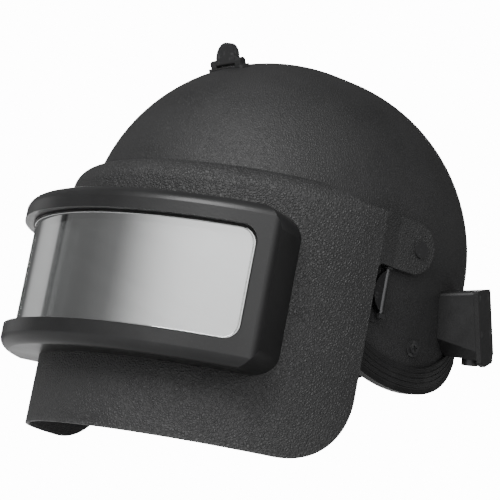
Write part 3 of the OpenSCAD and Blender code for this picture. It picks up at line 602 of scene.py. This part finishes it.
@dataclass
class Wardrobe:
    """Keeps each finish's material, made once."""

    made: dict[str, bpy.types.Material] = field(default_factory=dict)

    def get(self, slot: str) -> bpy.types.Material:
        """The material of one of the record's slots, made at its first use."""
        if slot not in self.made:
            self.made[slot] = FINISHES[slot].material()
        return self.made[slot]

    def dress_node(self, name: str) -> None:
        """Gives a CAD node its finish through its object's slots."""
        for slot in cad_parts[name].material_slots:
            base = slot.material.name.split(".")[0]
            slot.link = "OBJECT"
            slot.material = self.get(base)
            LOG.info("dressed %s in %s", name, base)

    def dress_piece(
        self, piece: bpy.types.Object, slot: str, *replaced: str, body: Body = Body.HELMET
    ) -> None:
        """Finishes a new piece: material, slot and body, and hides the CAD nodes that it stands
        for.

        Args:
            piece: the piece, in its place.
            slot: the record's slot name.
            replaced: the CAD nodes that it stands for.
            body: the body that it rides on.
        """
        piece.data.materials.clear()
        piece.data.materials.append(self.get(slot))
        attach(piece, body.value)
        if replaced:
            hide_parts(*replaced)
        LOG.info("made %s: %d faces on %s", piece.name, len(piece.data.polygons), body.value)


def new_object(name: str, data: bpy.types.ID) -> bpy.types.Object:
    """Links a new object to the scene, at the origin."""
    made = bpy.data.objects.new(name, data)
    bpy.context.scene.collection.objects.link(made)
    return made


def made_mesh(source: bpy.types.Object) -> bpy.types.Mesh:
    """The mesh that an object's modifiers or curve settings make."""
    graph = bpy.context.evaluated_depsgraph_get()
    return bpy.data.meshes.new_from_object(source.evaluated_get(graph))


def close_up(bm: bmesh.types.BMesh, name: str, smooth: bool = True) -> bpy.types.Object:
    """Turns a bmesh into a piece with outward faces.

    Args:
        bm: the finished bmesh, which is freed.
        name: the piece's name.
        smooth: whether its faces shade smoothly.

    Returns:
        The piece.
    """
    bmesh.ops.recalc_face_normals(bm, faces=bm.faces)
    for face in bm.faces:
        face.smooth = smooth
    mesh = bpy.data.meshes.new(name)
    bm.to_mesh(mesh)
    bm.free()
    return new_object(name, mesh)


def apply_modifiers(piece: bpy.types.Object) -> None:
    """Replaces a piece's mesh by what its modifiers make of it."""
    mesh = made_mesh(piece)
    piece.modifiers.clear()
    piece.data = mesh


def round_off(piece: bpy.types.Object) -> None:
    """Subdivides a piece once."""
    subdivision = piece.modifiers.new("round", "SUBSURF")
    subdivision.levels = subdivision.render_levels = 1
    apply_modifiers(piece)


def tube(name: str, path: list[Vector], radius: float) -> bpy.types.Object:
    """A closed round cord along a loop of points.

    Args:
        name: the piece's name.
        path: the loop's points, in order.
        radius: the cord's radius.

    Returns:
        The cord as a mesh.
    """
    curve = bpy.data.curves.new(name, "CURVE")
    curve.dimensions = "3D"
    curve.bevel_depth = radius
    curve.bevel_resolution = 2
    spline = curve.splines.new("POLY")
    spline.points.add(len(path) - 1)
    for point, place in zip(spline.points, path):
        point.co = (*place, 1)
    spline.use_cyclic_u = True
    holder = new_object(name + "_path", curve)
    mesh = made_mesh(holder)
    bpy.data.objects.remove(holder)
    mesh.shade_smooth()
    return new_object(name, mesh)


def rounded_plate(
    half_u: float, half_v: float, corner: float, segments: int = 8, cuts: int = 0
) -> bmesh.types.BMesh:
    """A flat rounded rectangle in the XY plane.

    Args:
        half_u: half its width.
        half_v: half its height.
        corner: the radius of its corners.
        segments: the steps of a corner.
        cuts: the cuts in each straight side.

    Returns:
        The rectangle, as one face.
    """
    bm = bmesh.new()
    bmesh.ops.create_grid(bm, x_segments=1, y_segments=1, size=1)
    bmesh.ops.scale(bm, vec=(half_u, half_v, 1), verts=bm.verts)
    bmesh.ops.bevel(
        bm,
        geom=bm.verts[:],
        offset=corner,
        segments=segments,
        affect="VERTICES",
        profile=0.5,
        material=-1,
    )
    if cuts:
        longer = [edge for edge in bm.edges if edge.calc_length() > LONG_EDGE]
        bmesh.ops.subdivide_edges(bm, edges=longer, cuts=cuts)
    return bm


def rounded_outline(half_u: float, half_v: float, corner: float) -> list[Vector]:
    """The points of a rounded rectangle, in order round its outline."""
    bm = rounded_plate(half_u, half_v, corner, cuts=24)
    outline = [vert.co.copy() for vert in max(bm.faces, key=lambda face: len(face.verts)).verts]
    bm.free()
    return outline


@dataclass
class Stitches:
    """A row of raised thread stitches, built as one mesh."""

    name: str
    length: float
    pitch: float
    radius: float
    bm: bmesh.types.BMesh = field(default_factory=bmesh.new)

    def add(self, at: Vector, along: Vector, out: Vector) -> None:
        """Adds one stitch that runs along a direction, on a surface that faces out."""
        side = out.cross(along).normalized()
        turn = Matrix((side, along.normalized(), out.normalized())).transposed().to_4x4()
        turn.translation = at
        scale = Matrix.Diagonal((self.radius, self.length / 2, self.radius, 1))
        bmesh.ops.create_icosphere(self.bm, subdivisions=1, radius=1, matrix=turn @ scale)

    def follow(self, path: list[Vector], outward: list[Vector]) -> None:
        """Sews along a path, with the surface's direction outward at each of its points."""
        since = 0.0
        for index in range(1, len(path)):
            step = path[index] - path[index - 1]
            since += step.length
            if since >= self.pitch:
                since = 0.0
                self.add(path[index], step, outward[index])

    def finish(self) -> bpy.types.Object:
        """Ends the row and returns it as a piece."""
        return close_up(self.bm, self.name)


@dataclass
class Pad:
    """A foam pad in knitted cloth, swelled by a cloth simulation and bound with piping."""

    name: str
    node: str
    centre: Vector
    facing: Vector
    half_u: float
    half_v: float
    corner: float
    side: Side | None = None
    voxel: float = 4 * MM
    shrink: float = 2.2 * MM
    cap: float = 5 * MM
    clear: float = 0.5 * MM
    piping: float = 0.9 * MM
    sunk: float = 0.3
    spread: float = 1.25
    layer: float = 8 * MM
    weld: float = 0.001 * MM
    pressure: float = 4
    frames: int = 20
    smoothings: int = 3
    fill: float = 0.65

    def build(self, wardrobe: Wardrobe) -> None:
        """Builds the pad and its piping."""
        piece = self.foam()
        self.swell(piece)
        self.crown(piece)
        wardrobe.dress_piece(piece, "pad_fabric", self.node)
        wardrobe.dress_piece(self.bind(piece), "webbing")

    def foam(self) -> bpy.types.Object:
        """A remeshed, slightly smaller copy of the pad's CAD solid."""
        bm = bmesh.new()
        bm.from_mesh(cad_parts[self.node].data)
        bmesh.ops.remove_doubles(bm, verts=bm.verts, dist=self.weld)
        if self.side:
            other = [vert for vert in bm.verts if vert.co.x * self.side.value < 0]
            bmesh.ops.delete(bm, geom=other, context="VERTS")
        piece = close_up(bm, self.name)
        remesh = piece.modifiers.new("even", "REMESH")
        remesh.mode = "VOXEL"
        remesh.voxel_size = self.voxel
        apply_modifiers(piece)
        bm = bmesh.new()
        bm.from_mesh(piece.data)
        bm.normal_update()
        for vert in bm.verts:
            vert.co -= vert.normal * self.shrink
        bm.to_mesh(piece.data)
        bm.free()
        return piece

    def swell(self, piece: bpy.types.Object) -> None:
        """Blows the pad up a little as cloth, then caps how far it moved."""
        rest = [vert.co.copy() for vert in piece.data.vertices]
        cloth = piece.modifiers.new("cloth", "CLOTH")
        cloth.settings.use_pressure = True
        cloth.settings.uniform_pressure_force = self.pressure
        cloth.settings.effector_weights.gravity = 0
        cloth.settings.quality = 4
        cloth.collision_settings.use_self_collision = False
        scene = bpy.context.scene
        for step in range(self.frames):
            scene.frame_set(step + 1)
        apply_modifiers(piece)
        for vert, start in zip(piece.data.vertices, rest):
            move = vert.co - start
            if move.length > self.cap:
                vert.co = start + move.normalized() * self.cap
        scene.frame_set(1)

    def crown(self, piece: bpy.types.Object) -> None:
        """Smooths the pad and keeps its outer face off the liner."""
        round_off(piece)
        for vert in piece.data.vertices:
            vert.co = self.inside_liner(vert.co)
        piece.data.shade_smooth()

    def inside_liner(self, place: Vector) -> Vector:
        """The point, or the nearest one that is clear of the liner."""
        middle = max(DOME_FRONT_Y, min(DOME_REAR_Y, place.y))
        out = place - Vector((0, middle, min(place.z, DOME_Z)))
        limit = LINER_INNER - self.clear
        if out.length > limit:
            return place - out.normalized() * (out.length - limit)
        return place

    def bind(self, piece: bpy.types.Object) -> bpy.types.Object:
        """The piping round the finished pad's side, as a piece."""
        faces = [polygon.vertices for polygon in piece.data.polygons]
        surface = BVHTree.FromPolygons([vert.co for vert in piece.data.vertices], faces)
        up = Vector((0, 1, 0)) if abs(self.facing.z) > 0.9 else Vector((0, 0, 1))
        across = up.cross(self.facing).normalized()
        over = self.facing.cross(across).normalized()
        path = []
        for point in rounded_outline(self.half_u, self.half_v, self.corner):
            wide = self.centre + across * point.x * self.spread + over * point.y * self.spread
            near, normal, _, _ = surface.find_nearest(wide + self.sag(point))
            path.append(near + normal * self.piping * self.sunk)
        for _ in range(self.smoothings):
            following = path[1:] + path[:1]
            path = [(path[i - 1] + path[i] * 2 + after) / 4 for i, after in enumerate(following)]
        return tube(self.name + "_piping", path, self.piping)

    def sag(self, point: Vector) -> Vector:
        """How far the pad's mid layer falls back at a point of its flat outline."""
        radius = LINER_INNER - self.layer
        flat = min(radius * 0.98, math.hypot(point.x, point.y))
        return self.facing * (math.sqrt(radius**2 - flat**2) - radius)


@dataclass
class Padding:
    """The five pads that hold the helmet off the head."""

    depth: float = 105 * MM
    centre_y: float = 2 * MM
    crown_y: float = 4 * MM
    corner: float = 8 * MM

    def pads(self) -> list[Pad]:
        """The pads, each with its middle, facing and size."""
        front, rear, up = Vector((0, -1, 0)), Vector((0, 1, 0)), Vector((0, 0, 1))
        crown = Vector((0, self.crown_y, DOME_Z + self.depth))
        pads = [
            self.pad("front", "front_pad", 191 * MM, front, 46 * MM, 17 * MM),
            self.pad("rear", "rear_pad", 135.5 * MM, rear, 46 * MM, 21.5 * MM),
            Pad("pad_crown", "top_pad", crown, up, 46 * MM, 46 * MM, 45 * MM),
        ]
        for side in Side:
            name, out = f"side_{side.name.lower()}", Vector((side.value, 0, 0))
            pads.append(self.pad(name, "side_pads", 175.5 * MM, out, 40 * MM, 18.5 * MM, side))
        return pads

    def pad(self, name: str, node: str, height: float, facing: Vector, *size: object) -> Pad:
        """A pad of the band round the head.

        Args:
            name: the pad's place.
            node: the CAD node that it stands for.
            height: its middle's height.
            facing: its direction from the head.
            size: half its width, half its height and, where it is one of two, its side.

        Returns:
            The pad.
        """
        rise = max(0.0, height - DOME_Z)
        reach = math.sqrt(self.depth**2 - rise**2)
        middle = Vector((0, self.centre_y, height)) + facing * reach
        half_u, half_v, *side = size
        return Pad(f"pad_{name}", node, middle, facing, half_u, half_v, self.corner, *side)

    def build(self, wardrobe: Wardrobe) -> None:
        """Builds every pad."""
        for pad in self.pads():
            pad.build(wardrobe)


@dataclass
class StrapRing:
    """The tilted ring that the chin strap and the cup lie on."""

    centre: Vector = field(default_factory=lambda: Vector((0, 28 * MM, 87 * MM)))
    tilt: float = math.radians(29.3)

    def point(self, radius: float, angle: float, across: float) -> Vector:
        """A point of the ring.

        Args:
            radius: the distance from the ring's axis.
            angle: degrees down from the wearer's left.
            across: the distance along the axis.

        Returns:
            The place in the frame.
        """
        turned = math.radians(-angle)
        flat = Vector((radius * math.cos(turned), radius * math.sin(turned), across))
        return self.centre + Matrix.Rotation(self.tilt, 3, "X") @ flat

    def axis(self) -> Vector:
        """The direction of the ring's axis."""
        return Matrix.Rotation(self.tilt, 3, "X") @ Vector((0, 0, 1))

    def outward(self, angle: float) -> Vector:
        """The direction away from the axis at an angle in degrees."""
        return (self.point(1, angle, 0) - self.centre).normalized()


@dataclass
class ChinStrap:
    """The two webbing halves with their sewn boxes. Angles are in degrees."""

    ring: StrapRing = field(default_factory=StrapRing)
    outer: float = 110.3 * MM
    thick: float = 2 * MM
    width: float = 20 * MM
    end: float = 6
    left_end: float = 38
    right_start: float = 51
    step: float = 0.75
    corner: float = 0.55 * MM
    weld: float = 0.002 * MM
    sewn: float = 8
    margin: float = 2.6 * MM
    sunk: float = 0.05 * MM
    samples: int = 40
    boxes: tuple[tuple[str, float], ...] = (("left", 12), ("buckle", 57), ("right", 160))

    def build(self, wardrobe: Wardrobe) -> None:
        """Builds both halves and their sewn boxes."""
        for name, start, stop in (
            ("left", -self.end, self.left_end),
            ("right", self.right_start, 180 + self.end),
        ):
            strap = self.webbing(f"webbing_{name}", start, stop)
            wardrobe.dress_piece(strap, "webbing", f"strap_{name}")
        for name, first in self.boxes:
            wardrobe.dress_piece(self.box_stitch(f"stitching_{name}", first), "webbing")

    def webbing(self, name: str, start: float, stop: float) -> bpy.types.Object:
        """One half of the strap, spun from its rounded section.

        Args:
            name: the piece's name.
            start: the first angle, in degrees.
            stop: the last angle.

        Returns:
            The strap, with a UV map in metres along and across.
        """
        bm = rounded_plate(self.thick / 2, self.width / 2, self.corner, segments=3)
        middle = self.outer - self.thick / 2
        for vert in bm.verts:
            vert.co = self.ring.point(middle + vert.co.x, start, vert.co.y)
        bmesh.ops.spin(
            bm,
            geom=bm.verts[:] + bm.edges[:] + bm.faces[:],
            cent=self.ring.centre,
            axis=-self.ring.axis(),
            angle=math.radians(stop - start),
            steps=int((stop - start) / self.step),
            use_merge=False,
        )
        bmesh.ops.remove_doubles(bm, verts=bm.verts, dist=self.weld)
        piece = close_up(bm, name)
        self.measure(piece, start)
        return piece

    def measure(self, piece: bpy.types.Object, start: float) -> None:
        """Writes the UV map, in metres along the strap from its first angle and across it."""
        layer = piece.data.uv_layers.new(name="weave")
        axis = self.ring.axis()
        left = self.ring.outward(0)
        down = axis.cross(left)
        for loop in piece.data.loops:
            from_centre = piece.data.vertices[loop.vertex_index].co - self.ring.centre
            angle = math.atan2(-from_centre.dot(down), from_centre.dot(left)) % math.tau
            if angle > math.pi * 1.5:
                angle -= math.tau
            along = (angle - math.radians(start)) * self.outer
            layer.data[loop.index].uv = (along, from_centre.dot(axis))

    def box_stitch(self, name: str, first: float) -> bpy.types.Object:
        """A sewn box with a cross on the strap's inner face.

        Args:
            name: the piece's name.
            first: the angle where the box starts.

        Returns:
            The stitches.
        """
        row = Stitches(name, 1.7 * MM, 2.3 * MM, 0.28 * MM)
        inner = self.outer - self.thick
        half = self.width / 2 - self.margin
        last = first + self.sewn
        corners = [(first, -half), (last, -half), (last, half), (first, half)]
        order = [0, 1, 2, 3, 0, 2, 1, 3]
        for begin, finish in zip(order, order[1:]):
            (a0, w0), (a1, w1) = corners[begin], corners[finish]
            path, outward = [], []
            for index in range(self.samples + 1):
                part = index / self.samples
                angle = a0 + (a1 - a0) * part
                path.append(self.ring.point(inner - self.sunk, angle, w0 + (w1 - w0) * part))
                outward.append(-self.ring.outward(angle))
            row.follow(path, outward)
        return row.finish()


@dataclass
class ChinCup:
    """The leather chin cup: a padded shell with a bound and sewn edge."""

    ring: StrapRing = field(default_factory=StrapRing)
    outer: float = 107.9 * MM
    thick: float = 4 * MM
    reach: float = 19
    width: float = 32 * MM
    dish: float = 0.22 * MM
    margin: float = 1.2 * MM
    corner: float = 12 * MM
    insets: int = 7
    inset: float = 1.6 * MM
    rim: float = 0.9
    binding: float = 1.0 * MM
    sewn: float = 0.8
    proud: float = 0.1 * MM
    fill: float = 0.4

    def build(self, wardrobe: Wardrobe) -> None:
        """Builds the cup, its edge binding and its stitches."""
        cup = self.shell()
        wardrobe.dress_piece(cup, "cup_leather", "chin_cup")
        binding = tube("cup_binding", self.edge(1.0), self.binding)
        wardrobe.dress_piece(binding, "cup_leather")
        inward = -self.ring.outward(90)
        lift = inward * (self.thick / 2 + self.proud)
        path = [place + lift for place in self.edge(self.sewn)]
        row = Stitches("cup_stitching", 1.9 * MM, 3.0 * MM, 0.3 * MM)
        row.follow(path, [inward] * len(path))
        wardrobe.dress_piece(row.finish(), "webbing")

    def bend(self, place: Vector) -> Vector:
        """Lays a point on the strap's ring: along, across and out from the mid layer."""
        middle = self.outer - self.thick / 2
        angle = 90 + math.degrees(place.x / middle)
        return self.ring.point(middle + place.z, angle, place.y)

    def half(self) -> Pair:
        """Half the flat cup's length and width, inside its binding."""
        return math.radians(self.reach) * self.outer - self.margin, self.width / 2 - self.margin

    def edge(self, share: float) -> list[Vector]:
        """The cup's outline at a share of its size."""
        half_u, half_v = self.half()
        flat = rounded_outline(half_u * share, half_v * share, self.corner * share)
        return [self.bend(point) for point in flat]

    def shell(self) -> bpy.types.Object:
        """The padded leather shell."""
        half_u, half_v = self.half()
        bm = rounded_plate(half_u, half_v, self.corner, cuts=16)
        for _ in range(self.insets):
            outer = [face for face in bm.faces if len(face.verts) > 4]
            bmesh.ops.inset_region(bm, faces=outer, thickness=self.inset, use_even_offset=True)
        bmesh.ops.triangulate(bm, faces=[face for face in bm.faces if len(face.verts) > 4])
        bmesh.ops.solidify(bm, geom=bm.faces[:], thickness=self.thick / 2)
        for vert in bm.verts:
            u, v = vert.co.x / half_u, vert.co.y / (self.width / 2)
            crown = max(0.0, 1 - max(abs(u), abs(v)) ** 3)
            level = vert.co.z * (self.rim + crown) - self.dish * crown
            vert.co = self.bend(Vector((vert.co.x, vert.co.y, level)))
        piece = close_up(bm, "cup")
        round_off(piece)
        return piece


@dataclass
class WindowEdge:
    """The ground edge of the armoured glass, just inside its seal."""

    axis_y: float = -9.6 * MM
    radius: float = 152.15 * MM
    half_angle: float = math.radians(50.35)
    low: float = 62.1 * MM
    high: float = 129.4 * MM
    corner: float = 9.4 * MM
    bead: float = 0.4 * MM

    def build(self, wardrobe: Wardrobe) -> None:
        """Builds the edge as a fine bead round the window."""
        half_v = (self.high - self.low) / 2
        outline = rounded_outline(self.half_angle * self.radius, half_v, self.corner)
        bead = tube("glass_ground_edge", [self.wrap(point) for point in outline], self.bead)
        wardrobe.dress_piece(bead, "armour_glass", body=Body.VISOR)

    def wrap(self, point: Vector) -> Vector:
        """Lays a flat point of the window, along and up, on the curved glass."""
        angle = point.x / self.radius
        ahead = Vector((math.sin(angle), -math.cos(angle), 0)) * self.radius
        return ahead + Vector((0, self.axis_y, (self.low + self.high) / 2 + point.y))


@dataclass(frozen=True)
class Assembly:
    """A group of CAD nodes that keep their shape and take a detailed finish."""

    title: str
    nodes: str

    def build(self, wardrobe: Wardrobe) -> None:
        """Dresses every node."""
        for name in self.nodes.split():
            wardrobe.dress_node(name)
        LOG.info("%s dressed", self.title)


@dataclass(frozen=True)
class Lamp:
    """A square soft light, aimed at the helmet."""

    name: str
    place: Triple
    size: float
    watts: float
    aim: Triple = (0, 0, 0.15)

    def build(self) -> None:
        """Adds the light to the scene."""
        data = bpy.data.lights.new(self.name, "AREA")
        data.energy = self.watts
        data.size = self.size
        lamp = new_object(self.name, data)
        lamp.location = self.place
        ray = Vector(self.aim) - Vector(self.place)
        lamp.rotation_euler = ray.to_track_quat("-Z", "Y").to_euler()


@dataclass
class Studio:
    """The pale floor, the soft lights and the camera of the photograph.

    Flag, panel and strip are level directions, as X and Y. Their edges are the shares of a ray
    along them where their effect starts and is whole.
    """

    floor_z: float = -0.16
    floor_half: float = 4.0
    paper: float = 0.6
    backdrop: float = 14.0
    ambient: float = 0.23
    rear_cut: float = 0.6
    rear_edge: Pair = (0.0, 0.5)
    below: float = 0.06
    horizon: Pair = (-0.25, 0.3)
    flag: Pair = (0.407, -0.913)
    flag_edge: Pair = (0.03, 0.08)
    flag_side: Pair = (0.0, 0.3)
    flag_cut: float = 0.8
    panel: Pair = (0.74, -0.67)
    panel_edge: Pair = (0.3, 0.96)
    panel_wide: Pair = (0.0, 0.45)
    panel_light: float = 2.0
    panel_glow: float = 0.14
    strip: Pair = (-0.985, -0.17)
    strip_edge: Pair = (0.94, 0.99)
    strip_light: float = 0.75
    lamps: tuple[Lamp, ...] = (
        Lamp("key", (0.6, -1.75, 1.5), 1.2, 64),
        Lamp("fill", (2.1, -0.9, 0.7), 1.0, 6),
        Lamp("rim", (0.5, 1.9, 1.0), 0.9, 2),
        Lamp("back", (-1.55, 1.25, 0.45), 1.0, 24),
    )

    def build(self) -> None:
        """Makes the floor, the world, the lights and the camera."""
        self.floor()
        self.world()
        for lamp in self.lamps:
            lamp.build()
        Viewpoint().build()

    def floor(self) -> None:
        """A plain pale floor below the helmet."""
        bm = bmesh.new()
        bmesh.ops.create_grid(bm, x_segments=2, y_segments=2, size=self.floor_half)
        bmesh.ops.translate(bm, vec=(0, 0, self.floor_z), verts=bm.verts)
        floor = close_up(bm, "floor", smooth=False)
        floor.data.materials.append(FloorPaper("floor_paper", (self.paper,) * 3, 0.9).material())

    def world(self) -> None:
        """A wide panel by the camera, a strip, a dark flag and dim light from below."""
        world = bpy.data.worlds.new("surroundings")
        world.use_nodes = True
        recipe = Recipe(world.node_tree)
        x, y, z = recipe.axes(recipe.node("ShaderNodeTexCoord"))
        to_panel = x * self.panel[0] + y * self.panel[1]
        to_strip = x * self.strip[0] + y * self.strip[1]
        to_flag = abs(x * self.flag[0] + y * self.flag[1])
        panel = to_panel.ease(*self.panel_edge) * self.panel_light
        glow = to_panel.ease(*self.panel_wide) * self.panel_glow
        strip = to_strip.ease(*self.strip_edge) * self.strip_light
        calm = self.ambient * (1 - y.ease(*self.rear_edge) * self.rear_cut)
        above = z.ease(*self.horizon) * (1 - self.below) + self.below
        flagged = (1 - to_flag.ease(*self.flag_edge)) * (0 - x).ease(*self.flag_side)
        light = (panel + glow + strip + calm) * above * (1 - flagged * self.flag_cut)
        seen = recipe.node("ShaderNodeLightPath")
        sockets = {"Color": (1, 1, 1, 1), "Strength": seen * self.backdrop + (1 - seen) * light}
        recipe.feed(world.node_tree.nodes["Background"], sockets)
        bpy.context.scene.world = world


@dataclass(frozen=True)
class Viewpoint:
    """The camera of the photograph; its focal length and centre are in pixels."""

    image: float = 500.0
    focal: float = 1959.0
    centre: Pair = (284.2, 255.0)
    sensor: float = 36.0
    place: Triple = (1.0345, -0.8002, -0.0791)
    away: Triple = (0.7763, -0.6075, -0.1685)
    turn: float = math.radians(51.95)
    lean: Pair = (-0.1848, 0.9828)
    far: float = 20.0

    def build(self) -> None:
        """Adds the camera to the scene."""
        back = Vector(self.away).normalized()
        level = Vector((math.cos(self.turn), math.sin(self.turn), 0))
        upright = back.cross(level).normalized()
        up = (self.lean[0] * level + self.lean[1] * upright).normalized()
        pose = Matrix((up.cross(back).normalized(), up, back)).transposed().to_4x4()
        pose.translation = Vector(self.place)
        data = bpy.data.cameras.new("camera")
        data.sensor_width = self.sensor
        data.lens = self.focal / self.image * self.sensor
        data.shift_x = (self.image / 2 - self.centre[0]) / self.image
        data.shift_y = (self.centre[1] - self.image / 2) / self.image
        data.clip_end = self.far
        camera = new_object("camera", data)
        camera.matrix_world = pose
        bpy.context.scene.camera = camera


ASSEMBLIES = (
    Assembly("helmet body", "outer_shell inner_liner edge_trim"),
    Assembly("chin strap hardware", "strap_plates strap_bolts strap_washers strap_nuts"),
    Assembly("buckle", "buckle_socket buckle_prong"),
    Assembly("visor pivots", "pivot_bolts pivot_washers pivot_nuts pivot_bushes"),
    Assembly("top latch", "latch_base latch_rivets latch_pin latch_tab"),
    Assembly("side catch", "catch_bracket catch_rivets catch_pin catch_blade"),
    Assembly("rear box", "box_housing box_cover box_screws box_socket box_board box_bolts"),
    Assembly("visor plate", "visor_plate brow_strip"),
    Assembly("window", "window_frame window_glass window_seal glass_gasket frame_screws"),
    Assembly("inner window", "inner_pane inner_bezel bezel_screws"),
)


def main() -> None:
    """Builds the studio, the assemblies and the soft pieces."""
    logging.basicConfig(level=logging.INFO, format="%(name)s: %(message)s")
    Studio().build()
    wardrobe = Wardrobe()
    for assembly in ASSEMBLIES:
        assembly.build(wardrobe)
    Padding().build(wardrobe)
    ChinStrap().build(wardrobe)
    ChinCup().build(wardrobe)
    WindowEdge().build(wardrobe)


if __name__ == "__main__":
    main()
